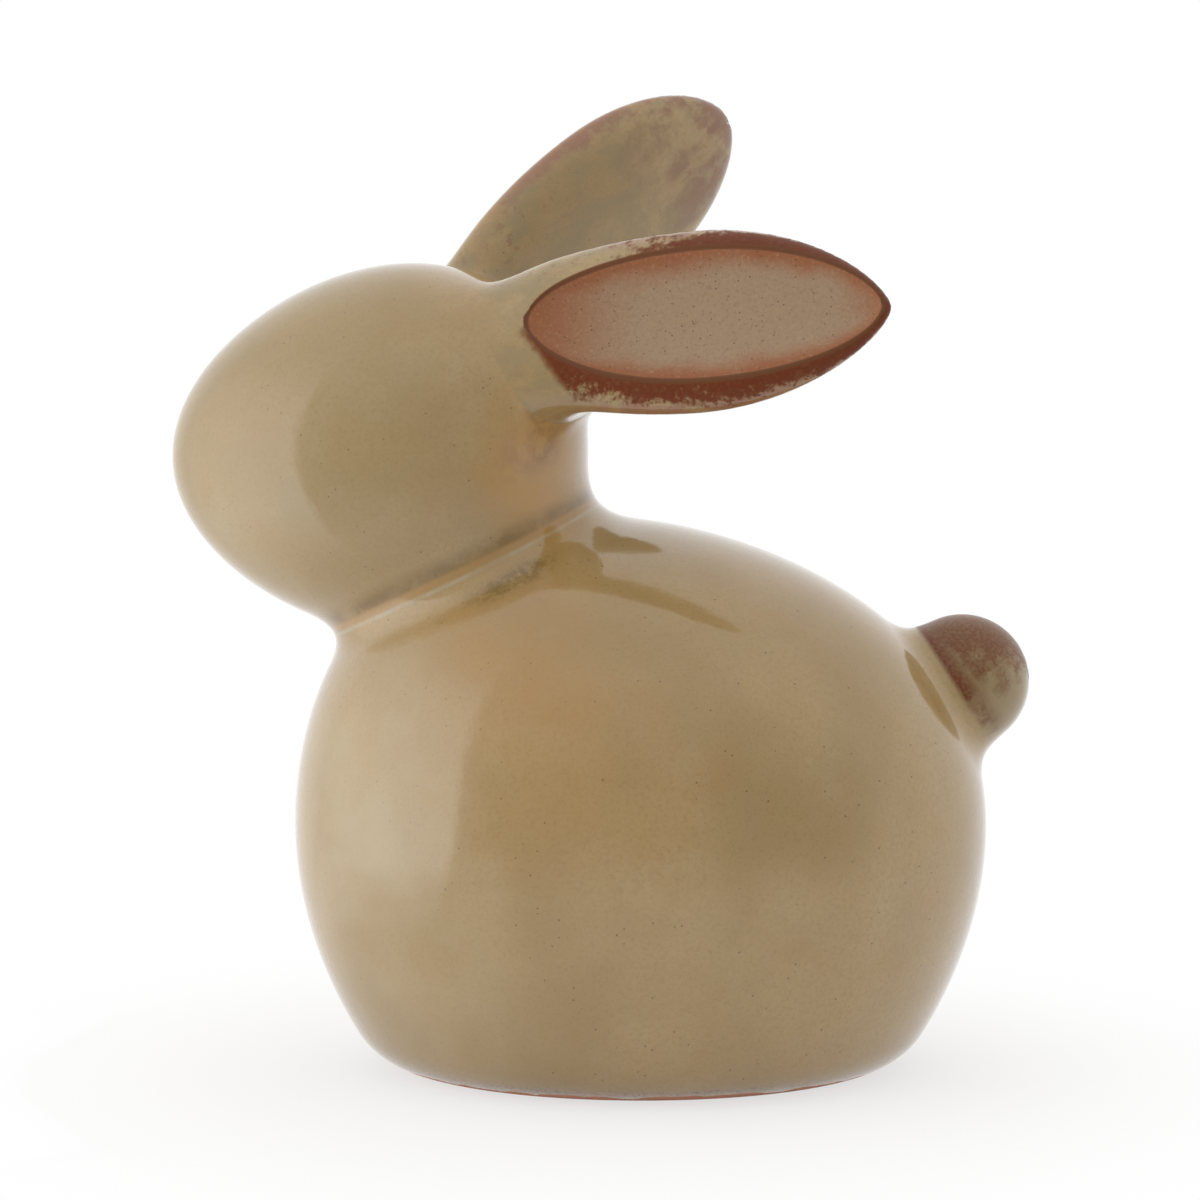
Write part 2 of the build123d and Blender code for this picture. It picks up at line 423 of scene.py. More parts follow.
def smooth_max(a, b, k):
    """Blend the intersection of two distance fields over a width k."""
    return -smooth_min(-a, -b, k)


def oval_distance(parts):
    """Return the near distance to an ellipsoid from (offset, half size) pairs."""
    k0 = np.sqrt(sum((q / r) ** 2 for q, r in parts))
    k1 = np.sqrt(sum((q / r**2) ** 2 for q, r in parts))
    return k0 * (k0 - 1.0) / np.maximum(k1, TINY)


def body_centre(t):
    """Return the x of the body's middle at a share t of its rise."""
    return BODY_X - BODY_LEAN * np.clip(t, 0.0, EGG_BEYOND) ** 3


def body_egg(p):
    """Return the distance to the whole body egg."""
    up = p[:, 2] - BODY_MIDDLE
    t = up / BODY_RISE
    full = 1.0 + BODY_FULLNESS * np.clip(t, -EGG_BEYOND, EGG_BEYOND)
    return oval_distance([
        (up, BODY_RISE),
        (p[:, 0] - body_centre(t), BODY_LENGTH / 2 * full),
        (p[:, 1], BODY_WIDTH / 2 * full),
    ])


def body_field(p):
    """Return the distance to the body, cut flat and rounded at the foot."""
    return smooth_max(body_egg(p), -p[:, 2], FOOT_ROUND)


def body_lute(p):
    """Return the distance to the slip's outer face on the body."""
    return body_field(p) - SLIP


def head_local(p):
    """Return points in the head's own axes."""
    c, s = cos(radians(HEAD_NOD)), sin(radians(HEAD_NOD))
    dx, dz = p[:, 0] - HEAD_X, p[:, 2] - HEAD_Z
    return c * dx + s * dz, p[:, 1], -s * dx + c * dz


def head_field(p):
    """Return the distance to the head egg."""
    along, across, up = head_local(p)
    half = HEAD_LENGTH / 2
    full = 1.0 + HEAD_FULLNESS * np.clip(along / half, -EGG_BEYOND, EGG_BEYOND)
    return oval_distance([(along, half), (across, HEAD_WIDTH / 2 * full), (up, HEAD_HEIGHT / 2 * full)])


def head_lute(p):
    """Return the distance to the slip's outer face on the head."""
    return head_field(p) - SLIP


def ear_axes(name):
    """Return the root point and the along, across and face directions of an ear."""
    share, turn, rise, splay, tilt, side = EARS[name]
    ring = (1 + HEAD_FULLNESS * share) * sqrt(1 - share * share)
    x = HEAD_LENGTH / 2 * share
    y = side * HEAD_WIDTH / 2 * ring * sin(radians(turn))
    z = HEAD_HEIGHT / 2 * ring * cos(radians(turn))
    c, s = cos(radians(HEAD_NOD)), sin(radians(HEAD_NOD))
    root = np.array([HEAD_X + c * x - s * z, y, HEAD_Z + s * x + c * z])
    level = cos(radians(splay))
    along = np.array([level * cos(radians(rise)), side * sin(radians(splay)), level * sin(radians(rise))])
    out = np.array([0.0, side * cos(radians(tilt)), sin(radians(tilt))])
    across = np.cross(along, out)
    across /= np.linalg.norm(across)
    return root, along, across, np.cross(across, along)


def ear_local(p, name):
    """Return distances along, across and out of the face of an ear."""
    root, along, across, face = ear_axes(name)
    q = p - root
    return q @ along, q @ across, q @ face


def ear_sizes(s, name):
    """Return the ear's half width and half thickness at distance s from the root."""
    middle = EAR_LENGTH - EAR_TIP_RUN
    short, power = EAR_TIPS[name]
    tip = np.clip((s - middle) / (EAR_TIP_RUN - short), 0.0, EAR_TIP_MOST)
    left = 1.0 - tip * tip
    back = smooth_min(np.maximum((middle - s) / EAR_ROOT_RUN, 0.0), EAR_ROOT_MOST, EAR_ROOT_EASE)
    wide = EAR_WIDTH / 2 * left**power * np.sqrt(1.0 - back * back)
    thick = EAR_THICKNESS + (EAR_ROOT_THICKNESS - EAR_THICKNESS) * back * back
    return wide, thick / 2 * np.sqrt(left)


def leaf_field(p, name):
    """Return the distance to an ear's plain leaf."""
    s, u, v = ear_local(p, name)
    wide, thick = ear_sizes(s, name)
    short, _ = EAR_TIPS[name]
    side = oval_distance([(u, wide), (v, thick)])
    rooted = smooth_max(side, -s - EAR_ROOT_DEPTH, EAR_ROOT_ENDS[name])
    return np.maximum(rooted, s - EAR_LENGTH + short)


def dish_field(p, name):
    """Return the distance to the space that hollows an ear's face."""
    s, u, v = ear_local(p, name)
    run = DISH_LENGTH / 2
    middle = EAR_LENGTH - DISH_TO_TIP - run
    share = (s - middle) / run
    left = np.maximum(1.0 - share * share, DISH_END_LEAST)
    wide, crown = ear_sizes(np.clip(s, middle - run, middle + run), name)
    reach = DISH_WIDTH / 2 * left**DISH_LEAF_POWER
    rim = crown * np.sqrt(np.maximum(1.0 - (reach / wide) ** 2, 0.0))
    below = crown - rim + DISH_DEPTH * np.sqrt(left)
    half = reach / np.sqrt(1.0 - ((crown - rim) / below) ** 2)
    hollow = oval_distance([(u, half), (v - crown, below)])
    return np.maximum(hollow, np.abs(s - middle) - run)


def ear_field(p, name):
    """Return the distance to an ear with its dish."""
    return smooth_max(leaf_field(p, name), -dish_field(p, name), DISH_BLEND)


def ear_upward(p, name):
    """Return how far a point is above the middle line of an ear, across its leaf."""
    _, u, _ = ear_local(p, name)
    _, _, across, _ = ear_axes(name)
    return u * np.sign(across[2])


def ear_blend(p, name):
    """Return how widely an ear is smoothed into the head, eased from its lower to its upper edge."""
    below, above = EAR_BLENDS[name]
    share = np.clip(0.5 + ear_upward(p, name) / EAR_WIDTH, 0.0, 1.0)
    return below + (above - below) * share * share * (3.0 - 2.0 * share)


def tail_seat():
    """Return the rump point under the tail and the direction square to it."""
    reach = []
    for z in (TAIL_HEIGHT, TAIL_HEIGHT + TAIL_STEP):
        t = (z - BODY_MIDDLE) / BODY_RISE
        full = (1 + BODY_FULLNESS * t) * sqrt(1 - t * t)
        reach.append(body_centre(t) + BODY_LENGTH / 2 * full)
    out = np.array([TAIL_STEP, 0.0, reach[0] - reach[1]])
    return np.array([reach[0], 0.0, TAIL_HEIGHT]), out / np.linalg.norm(out)


def tail_field(p):
    """Return the distance to the tail ball."""
    place, out = tail_seat()
    return np.linalg.norm(p - place - out * TAIL_STAND, axis=1) - TAIL_DIAMETER / 2


def trunk_field(p):
    """Return the distance to body and head smoothed together at the neck."""
    back = np.clip((p[:, 0] - THROAT_X) / (NAPE_X - THROAT_X), 0.0, 1.0)
    k = THROAT_BLEND + (NAPE_BLEND - THROAT_BLEND) * back**2
    return smooth_min(body_field(p), head_field(p), k)


def web_field(p):
    """Return the distance to the clay smoothed in under the near ear's root."""
    return oval_distance([(p[:, axis] - WEB_MIDDLE[axis], WEB_HALF[axis]) for axis in range(3)])


def rabbit_field(p):
    """Return the distance to the whole outer surface."""
    d = trunk_field(p)
    for name in EARS:
        d = soft_min(d, ear_field(p, name), ear_blend(p, name))
    d = soft_min(d, web_field(p), WEB_BLEND)
    return smooth_min(d, tail_field(p), TAIL_BLEND)


def gradient(field, p):
    """Return the slope of a field by central differences."""
    g = np.empty_like(p)
    for axis in range(3):
        d = np.zeros(3)
        d[axis] = SLOPE_STEP
        g[:, axis] = (field(p + d) - field(p - d)) / (2 * SLOPE_STEP)
    return g


def settle(field, p):
    """Move points onto the zero surface of a field."""
    for _ in range(SETTLE_ROUNDS):
        g = gradient(field, p)
        p = p - (field(p) / np.maximum((g * g).sum(1), SLOPE_LEAST))[:, None] * g
    return p


def unit(v):
    """Return vectors at length one."""
    return v / np.linalg.norm(v, axis=1)[:, None]


def near_cells(field, low, high):
    """Return the grid cells that lie close to the zero surface."""
    count = np.ceil((high - low) / (GRID * 2**GRID_LEVELS)).astype(int)
    cells = np.indices(count).reshape(3, -1).T
    for level in range(GRID_LEVELS, -1, -1):
        step = GRID * 2**level
        cells = cells[np.abs(field(low + (cells + 0.5) * step)) < GRID_NEAR * step]
        if level:
            cells = (cells[:, None, :] * 2 + CORNERS).reshape(-1, 3)
    return cells


def cell_key(cells, span):
    """Return one number for each cell of a grid with a span along each axis."""
    return (cells[..., 0] * span[1] + cells[..., 1]) * span[2] + cells[..., 2]


def corner_values(field, low, cells, span):
    """Return a field's values at the eight corners of each cell."""
    unique, index = np.unique(cell_key(cells[:, None, :] + CORNERS, span), return_inverse=True)
    at = np.stack([unique // (span[1] * span[2]), unique // span[2] % span[1], unique % span[2]], 1)
    return field(low + at * GRID)[index.reshape(-1, 8)]


def edge_crossings(values):
    """Return the sum of the places where each cell's edges cross the surface, and their number."""
    total = np.zeros((len(values), 3))
    hits = np.zeros(len(values))
    for a, b in EDGES:
        va, vb = values[:, a], values[:, b]
        cross = (va < 0) != (vb < 0)
        t = va[cross] / (va[cross] - vb[cross])
        total[cross] += CORNERS[a] + t[:, None] * (CORNERS[b] - CORNERS[a])
        hits[cross] += 1
    return total, hits


def cell_quads(cells, values, span):
    """Return the quads that join the four cells round each crossed grid edge, facing out."""
    keys = cell_key(cells, span)
    order = np.argsort(keys)
    ranked = keys[order]
    axes = np.eye(3, dtype=int)
    quads = []
    for axis in range(3):
        e1, e2 = axes[(axis + 1) % 3], axes[(axis + 2) % 3]
        far = int(np.flatnonzero((CORNERS == axes[axis]).all(1))[0])
        own = np.flatnonzero((values[:, 0] < 0) != (values[:, far] < 0))
        around = []
        for shift in (0 * e1, e1, e1 + e2, e2):
            want = cell_key(cells[own] - shift, span)
            place = np.clip(np.searchsorted(ranked, want), 0, len(ranked) - 1)
            around.append(np.where(ranked[place] == want, order[place], -1))
        ring = np.stack(around, 1)
        outside = values[own, 0] >= 0
        ring[outside] = ring[outside][:, ::-1]
        quads.append(ring[(ring >= 0).all(1)])
    return np.concatenate(quads)


def surface_mesh(field, low, high):
    """Return points and quads of a field's zero surface."""
    cells = near_cells(field, low, high)
    span = cells.max(0) + GRID_SPARE
    values = corner_values(field, low, cells, span)
    total, hits = edge_crossings(values)
    live = hits > 0
    points = low + (cells[live] + total[live] / hits[live][:, None]) * GRID
    return points, cell_quads(cells[live], values[live], span)


def cut(points, faces, tags, line):
    """Split triangles along the zero line of a value per point and tell which lie below it."""
    low = line < 0
    count = low[faces].sum(1)
    whole = (count == 0) | (count == 3)
    split, split_tags = faces[~whole], tags[~whole]
    lone_low = count[~whole] == 1
    rows = np.arange(len(split))
    turn = (low[split] == lone_low[:, None]).argmax(1)
    a, b, c = (split[rows, (turn + k) % 3] for k in range(3))
    pairs = np.sort(np.concatenate([np.stack([a, b], 1), np.stack([a, c], 1)]), 1)
    unique, index = np.unique(pairs, axis=0, return_inverse=True)
    index = index.reshape(-1) + len(points)
    ab, ac = index[:len(a)], index[len(a):]
    near, far = line[unique[:, 0]], line[unique[:, 1]]
    start, end = points[unique[:, 0]], points[unique[:, 1]]
    fresh = start + (near / (near - far))[:, None] * (end - start)
    corner = np.stack([a, ab, ac], 1)
    first, second = np.stack([ab, b, c], 1), np.stack([ab, c, ac], 1)
    points = np.concatenate([points, settle(rabbit_field, fresh)])
    faces = np.concatenate([faces[whole], corner, first, second])
    tags = np.concatenate([tags[whole], split_tags, split_tags, split_tags])
    below = np.concatenate([count[whole] == 3, lone_low, ~lone_low, ~lone_low])
    return points, faces, tags, below


def ear_line(p, name):
    """Return how far a point is on the head's side of an ear's joint, negative on the ear."""
    rest = trunk_field(p)
    for other in EARS:
        if other != name:
            rest = np.minimum(rest, ear_field(p, other))
    return ear_field(p, name) - rest


def tail_line(p):
    """Return how far a point is on the body's side of the tail's joint, negative on the tail."""
    return tail_field(p) - trunk_field(p)


def neck_line(p):
    """Return how far a point is on the body's side of the neck joint, negative on the head and ears."""
    line = head_field(p) - body_field(p)
    for name in EARS:
        line = np.where(ear_line(p, name) < SEAM_HALF, -EAR_LENGTH, line)
    return line


def dish_line(p, name):
    """Return how far a point is outside the rim of an ear's dish, negative in the dish."""
    return np.where(ear_line(p, name) < 0, leaf_field(p, name) + dish_field(p, name), EAR_LENGTH)


def foot_line(p):
    """Return how far a point is outside the recess under the foot, negative in the recess."""
    inside = oval_distance([(p[:, 0] - BODY_X, RECESS_LENGTH / 2), (p[:, 1], RECESS_WIDTH / 2)])
    return np.where(p[:, 2] < FOOT_RECESS / 2, inside, BODY_LENGTH)


def split_rabbit():
    """Return the outer skin as points, triangles and the name of the solid of each triangle."""
    low = np.array(cad_box[0]) / MM - GRID_MARGIN
    high = np.array(cad_box[1]) / MM + GRID_MARGIN
    points, quads = surface_mesh(rabbit_field, low, high)
    points = settle(rabbit_field, points)
    faces = np.concatenate([quads[:, [0, 1, 2]], quads[:, [0, 2, 3]]])
    tags = np.full(len(faces), "body_casting", dtype="U20")
    joints = [(name, name, partial(ear_line, name=name)) for name in EARS]
    joints += [("tail", "tail", tail_line), ("neck", "head_casting", neck_line)]
    for name, piece, line in joints:
        for edge, tag in ((-SEAM_HALF, piece), (SEAM_HALF, f"{name}_slip")):
            points, faces, tags, below = cut(points, faces, tags, line(points) - edge)
            tags[below & (tags == "body_casting")] = tag
    for name in EARS:
        points, faces, tags, below = cut(points, faces, tags, dish_line(points, name))
        tags[below & (tags == name)] = f"{name}_inset"
    return points, faces, tags


def take(points, faces):
    """Return only the points that some faces use, with the faces renumbered."""
    used, index = np.unique(faces, return_inverse=True)
    return points[used], index.reshape(-1, 3)


def rim_loops(faces):
    """Return the open edges of a mesh as loops of point numbers."""
    halves = np.concatenate([faces[:, [0, 1]], faces[:, [1, 2]], faces[:, [2, 0]]]).tolist()
    known = {tuple(h) for h in halves}
    following = {a: b for a, b in known if (b, a) not in known}
    loops = []
    while following:
        at = min(following)
        loop = []
        while at in following:
            loop.append(at)
            at = following.pop(at)
        loops.append(np.array(loop))
    return loops


def band(outer, inner):
    """Return the triangles between two loops of the same length."""
    a, b = outer, np.roll(outer, -1)
    c, d = inner, np.roll(inner, -1)
    return np.concatenate([np.stack([b, a, c], 1), np.stack([b, c, d], 1)])


def fill(points, faces, loop, rings, middle):
    """Close a loop with rings of points and a middle point."""
    outer = loop
    for ring in rings:
        inner = len(points) + np.arange(len(ring))
        points = np.concatenate([points, ring])
        faces = np.concatenate([faces, band(outer, inner)])
        outer = inner
    fan = np.stack([np.roll(outer, -1), outer, np.full(len(outer), len(points))], 1)
    return np.concatenate([points, middle[None]]), np.concatenate([faces, fan])


def seat(points, faces, loop, field):
    """Close a loop with a patch that lies on a field's zero surface."""
    edge = points[loop]
    centre = edge.mean(0)
    rings = [settle(field, centre + (edge - centre) * share) for share in SEAT_SHARES]
    return fill(points, faces, loop, rings, settle(field, centre[None])[0])


def lowered(points, depth):
    """Return points of the skin moved below it by a depth."""
    return points - unit(gradient(rabbit_field, points)) * depth


def sheet(points, faces, depth):
    """Return an open skin closed to a sheet of a thickness below it, and the number of skin faces."""
    walls = [band(loop, loop + len(points)) for loop in rim_loops(faces)]
    closed = np.concatenate([faces, faces[:, ::-1] + len(points)] + walls)
    return np.concatenate([points, lowered(points, depth)]), closed, len(faces)


def oval_ring(angle, x, half_length, half_width, z):
    """Return points at some angles on a level oval."""
    return np.stack([x + half_length * np.cos(angle), half_width * np.sin(angle), np.full(len(angle), z)], 1)


def body_hollow(angle):
    """Return rings from the foot through the pour hole and up inside the body, and the inner crown."""
    floor = FOOT_RECESS + WALL
    crown = BODY_CROWN - WALL
    hole = POUR_HOLE / 2
    rings = [oval_ring(angle, BODY_X, RECESS_LENGTH / 2, RECESS_WIDTH / 2, FOOT_RECESS)]
    for share in RECESS_SHARES:
        long = hole + (RECESS_LENGTH / 2 - hole) * share
        wide = hole + (RECESS_WIDTH / 2 - hole) * share
        rings.append(oval_ring(angle, BODY_X, long, wide, FOOT_RECESS))
    rings.append(oval_ring(angle, BODY_X, hole, hole, floor))
    for z in np.linspace(floor, crown, HOLLOW_RINGS)[:-1]:
        t = (z - BODY_MIDDLE) / (crown - BODY_MIDDLE)
        full = (1 + BODY_FULLNESS * t) * sqrt(1 - t * t)
        long = (BODY_LENGTH / 2 - WALL) * full
        wide = (BODY_WIDTH / 2 - WALL) * full
        rings.append(oval_ring(angle, body_centre(t), long, wide, z))
    return rings, np.array([body_centre(1.0), 0.0, crown])


def body_piece(points, faces):
    """Return the closed hollow body with its foot ring, and the number of skin faces."""
    points, faces, _, below = cut(points, faces, np.zeros(len(faces)), foot_line(points))
    points, faces = take(points, faces[~below])
    skin = len(faces)
    for loop in rim_loops(faces):
        edge = points[loop]
        if edge[:, 2].max() < FOOT_RECESS:
            angle = np.arctan2(edge[:, 1] / RECESS_WIDTH, (edge[:, 0] - BODY_X) / RECESS_LENGTH)
            points, faces = fill(points, faces, loop, *body_hollow(angle))
        else:
            points, faces = seat(points, faces, loop, body_field)
    return points, faces, skin


def head_piece(points, faces):
    """Return the closed head and the number of skin faces."""
    skin = len(faces)
    for loop in rim_loops(faces):
        under = points[loop].mean(0)[2] < HEAD_Z
        points, faces = seat(points, faces, loop, body_lute if under else head_field)
    return points, faces, skin


def ear_piece(points, faces, inset_points, inset_faces):
    """Return the closed ear with the bed of its inset, and the number of skin faces."""
    skin = len(faces)
    root, rim = sorted(rim_loops(faces), key=len)
    points, faces = seat(points, faces, root, head_lute)
    start = len(points)
    points = np.concatenate([points, lowered(inset_points, INSET)])
    where = {tuple(inset_points[i]): start + i for i in rim_loops(inset_faces)[0]}
    below = np.array([where[tuple(p)] for p in points[rim]])
    return points, np.concatenate([faces, inset_faces + start, band(rim, below)]), skin


def tail_piece(points, faces):
    """Return the closed tail and the number of skin faces."""
    skin = len(faces)
    points, faces = seat(points, faces, rim_loops(faces)[0], body_lute)
    return points, faces, skin


def marks(p):
    """Return the values per point that place colour on the glaze."""
    nearest = np.argmin([ear_field(p, name) for name in EARS], axis=0)
    along, upper, lift, front, dish = (np.zeros(len(p)) for _ in range(5))
    for index, name in enumerate(EARS):
        own = nearest == index
        s, _, v = ear_local(p[own], name)
        wide, thick = ear_sizes(s, name)
        along[own] = s / EAR_LENGTH
        lift[own] = ear_upward(p[own], name)
        upper[own] = lift[own] / wide
        front[own] = v / thick
        dish[own] = leaf_field(p[own], name) + dish_field(p[own], name)
    return {
        "neck": np.clip(head_field(p) - body_field(p), -NECK_MOST, NECK_MOST),
        "trunk": trunk_field(p),
        "along": along,
        "upper": upper,
        "lift": lift,
        "front": front,
        "dish": np.clip(dish, -DISH_MOST, DISH_MOST),
        "height": p[:, 2],
    }


def add_piece(name, node, points, faces, skin, material, slot_name):
    """Add one dressed piece that stands for a solid."""
    mesh = bpy.data.meshes.new(name)
    mesh.from_pydata((points * MM).tolist(), [], faces.tolist())
    outer = np.arange(len(faces)) < skin
    mesh.polygons.foreach_set("use_smooth", outer)
    normals = unit(gradient(rabbit_field, points))[faces]
    normals[~outer] = 0.0
    mesh.normals_split_custom_set(normals.reshape(-1, 3))
    for key, values in marks(points).items():
        layer = mesh.attributes.new(key, "FLOAT", "POINT")
        layer.data.foreach_set("value", values.astype(np.float32))
    mesh.materials.append(material)
    piece = bpy.data.objects.new(name, mesh)
    bpy.context.scene.collection.objects.link(piece)
    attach(piece, next(iter(frame["bodies"])))
    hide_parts(node)


class Graph:
    """A short way to write the nodes of a material or of the world."""

    def __init__(self, owner):
        self.owner = owner
        owner.use_nodes = True
        self.tree = owner.node_tree
        self.tree.nodes.clear()
        self.coordinates = self.add("ShaderNodeTexCoord")
        self.place = self.coordinates.outputs["Object"]

    def add(self, kind, sockets=None, **settings):
        """Add a node, set its options and give its sockets a value or a link."""
        node = self.tree.nodes.new(kind)
        for key, value in settings.items():
            setattr(node, key, value)
        for key, value in (sockets or {}).items():
            if isinstance(value, bpy.types.NodeSocket):
                self.tree.links.new(value, node.inputs[key])
            else:
                node.inputs[key].default_value = value
        return node

    def mark(self, name):
        """Read one value per point."""
        return self.add("ShaderNodeAttribute", attribute_name=name).outputs["Fac"]

    def maths(self, operation, a, b=0.0):
        """Return the result of one operation on two values."""
        return self.add("ShaderNodeMath", {0: a, 1: b}, operation=operation).outputs[0]

    def times(self, first, *others):
        """Return the product of some values."""
        for other in others:
            first = self.maths("MULTIPLY", first, other)
        return first

    def plus(self, first, *others):
        """Return the sum of some values."""
        for other in others:
            first = self.maths("ADD", first, other)
        return first

    def most(self, first, *others):
        """Return the largest of some values."""
        for other in others:
            first = self.maths("MAXIMUM", first, other)
        return first

    def span(self, value, start, end, low=0.0, high=1.0, ease="SMOOTHSTEP"):
        """Return a value eased from low to high between a start and an end."""
        sockets = {"Value": value, "From Min": start, "From Max": end, "To Min": low, "To Max": high}
        return self.add("ShaderNodeMapRange", sockets, interpolation_type=ease).outputs["Result"]

    def band(self, value, start, full, fade, end):
        """Return one where a value lies between full and fade, eased to nothing at start and end."""
        return self.times(self.span(value, start, full), self.span(value, end, fade))

    def noise(self, size, detail, rough):
        """Return cloudy noise whose patches are about a size in millimetres."""
        sockets = {"Vector": self.place, "Scale": 1.0 / (size * MM), "Detail": detail, "Roughness": rough}
        return self.add("ShaderNodeTexNoise", sockets).outputs["Fac"]

    def patches(self, size, detail, rough, *span):
        """Return cloudy noise eased over a span."""
        return self.span(self.noise(size, detail, rough), *span)

    def specks(self, size, share, strength):
        """Return small round specks, of which a share of the cells has one."""
        cell = self.add("ShaderNodeTexVoronoi", {"Vector": self.place, "Scale": 1.0 / (size * MM)})
        spot = self.span(cell.outputs["Distance"], *SPECK_EDGE)
        pick = self.add("ShaderNodeSeparateColor", {"Color": cell.outputs["Color"]}).outputs["Red"]
        return self.times(spot, self.maths("LESS_THAN", pick, share), strength)

    def near(self, point, reach):
        """Return a soft spot round a point, both in millimetres."""
        sockets = {0: self.place, 1: tuple(c * MM for c in point)}
        away = self.add("ShaderNodeVectorMath", sockets, operation="DISTANCE").outputs["Value"]
        return self.span(away, reach * MM, STAIN_CORE * reach * MM)

    def streaks(self, along, front):
        """Return noise drawn out along an ear."""
        far = self.times(along, STREAKS_ALONG)
        lift = self.times(self.mark("lift"), STREAKS_ACROSS)
        place = self.add("ShaderNodeCombineXYZ", {0: far, 1: lift, 2: front}).outputs[0]
        sockets = {"Vector": place, "Scale": 1.0, "Detail": STREAKS_DETAIL}
        sockets["Roughness"] = STREAKS_ROUGH
        sockets["Distortion"] = STREAKS_WARP
        return self.add("ShaderNodeTexNoise", sockets).outputs["Fac"]

    def mix(self, factor, a, b):
        """Return colour a turning to colour b."""
        return self.add("ShaderNodeMix", {0: factor, 6: a, 7: b}, data_type="RGBA").outputs[2]

    def seen_white(self):
        """Return one for rays that show the background: camera, mirror and glass."""
        rays = self.add("ShaderNodeLightPath").outputs
        return self.most(rays["Is Camera Ray"], rays["Is Glossy Ray"], rays["Is Transmission Ray"])

    def shade(self, colour, rough, bump, depth, coat, gloss):
        """Finish the material with a colour, a roughness, a fine relief, a coat and a gloss."""
        lift = {"Height": bump, "Strength": RELIEF_STRENGTH, "Distance": depth * MM}
        relief = self.add("ShaderNodeBump", lift)
        sockets = {"Base Color": colour, "Roughness": rough, "IOR": REFRACTION}
        sockets["Normal"] = relief.outputs["Normal"]
        sockets["Coat Weight"] = coat
        sockets["Coat Roughness"] = COAT_ROUGH
        sockets["Specular IOR Level"] = gloss
        skin = self.add("ShaderNodeBsdfPrincipled", sockets)
        self.add("ShaderNodeOutputMaterial", {"Surface": skin.outputs["BSDF"]})
        return self.owner

    def glaze(self, colour, dry, dry_rough, wet_coat, dry_coat, gloss):
        """Finish the material as a glaze that loses its polish where it is dry."""
        rough = self.span(dry, 0.0, 1.0, GLAZE_ROUGH, dry_rough)
        coat = self.span(dry, 0.0, 1.0, wet_coat, dry_coat)
        return self.shade(colour, rough, self.noise(*GLAZE_RELIEF), GLAZE_DEPTH, coat, gloss)


def glaze_base(g):
    """Return the mottled tan that all the glazes share."""
    colour = TAN_DEEP
    for patch, patches in MOTTLES:
        colour = g.mix(g.patches(*patches), colour, patch)
    return g.mix(g.specks(*GLAZE_SPECKS), colour, SOOT)


def add_stains_and_painted_light(g, colour):
    """Return a colour with the stains of body and head and the painted light among them, small ones ragged
    and large ones cloudy.
    """
    small = g.patches(*SMALL_PATCHES)
    large = g.patches(*LARGE_PATCHES)
    for point, reach, tint, strength in STAINS_AND_PAINTED_LIGHT:
        spot = g.times(g.near(point, reach), strength, large if reach > STAIN_SMALL else small)
        colour = g.mix(spot, colour, tint)
    return colour


def add_neck(g, colour):
    """Return a colour with the olive face and the marks along the neck joint, one of them partly a painted
    highlight.
    """
    neck = g.mark("neck")
    x = g.add("ShaderNodeSeparateXYZ", {0: g.place}).outputs["X"]
    colour = g.mix(g.times(g.span(x, *FACE_X), g.span(neck, *FACE_OLIVE)), colour, OLIVE)
    smudge = g.times(g.band(neck, *SMUDGE_BAND), g.patches(*SMUDGE_PATCHES))
    colour = g.mix(smudge, colour, UMBER)
    smear = g.times(g.band(neck, *SMEAR_BAND), g.near(*SMEAR), g.patches(*SMEAR_PATCHES))
    colour = g.mix(smear, colour, UMBER)
    colour = g.mix(g.times(g.band(neck, *LINE_BAND), LINE_STRENGTH), colour, OCHRE)
    # Pale pooled glaze just below the joint, partly a painted highlight in the crease
    pooled_highlight = g.times(g.band(neck, *POOLED_HIGHLIGHT_BAND), g.patches(*POOLED_HIGHLIGHT_PATCHES))
    return g.mix(pooled_highlight, colour, POOLED_HIGHLIGHT)


def body_glaze():
    """Return the glaze of body and head, stained at the neck, with painted sheen and painted light, and bare
    at the foot.
    """
    g = Graph(bpy.data.materials.new("reactive_glaze"))
    colour = add_neck(g, add_stains_and_painted_light(g, glaze_base(g)))
    height = g.plus(g.mark("height"), g.patches(*FOOT_UNEVEN))
    edge = g.times(g.band(height, *FOOT_BAND), g.patches(*FOOT_PATCHES))
    colour = g.mix(edge, colour, BROWN)
    bare = g.most(g.span(height, *FOOT_BARE), g.span(g.mark("trunk"), *INSIDE_BARE))
    colour = g.mix(bare, colour, CLAY)
    dry = g.most(bare, g.times(g.near(*DRY_CORNER), DRY_STRENGTH))
    return g.glaze(colour, dry, *BODY_FINISH)


def ear_khaki(g, along, upper, streak):
    """Return the khaki of the ears, rosy at the worn edge, with rust at tip and root."""
    cloud = g.noise(*EAR_CLOUDS)
    colour = g.mix(g.span(streak, *OLIVE_STREAKS), glaze_base(g), OLIVE)
    colour = g.mix(g.span(cloud, *OLIVE_CLOUDS), colour, OLIVE)
    edge = g.plus(g.maths("ABSOLUTE", upper), g.span(cloud, *WORN_UNEVEN))
    colour = g.mix(g.times(g.span(edge, *WORN_EDGE), g.span(along, *WORN_ALONG)), colour, ROSE)
    drawn = g.span(g.plus(streak, cloud), *RUST_DRAWN)
    colour = g.mix(g.times(g.span(along, *RUST_ALONG), drawn), colour, RUST)
    flecks = g.times(g.span(along, *FLECKS_ALONG), g.patches(*FLECKS), g.span(upper, *FLECKS_UPPER))
    return g.mix(flecks, colour, RUST)


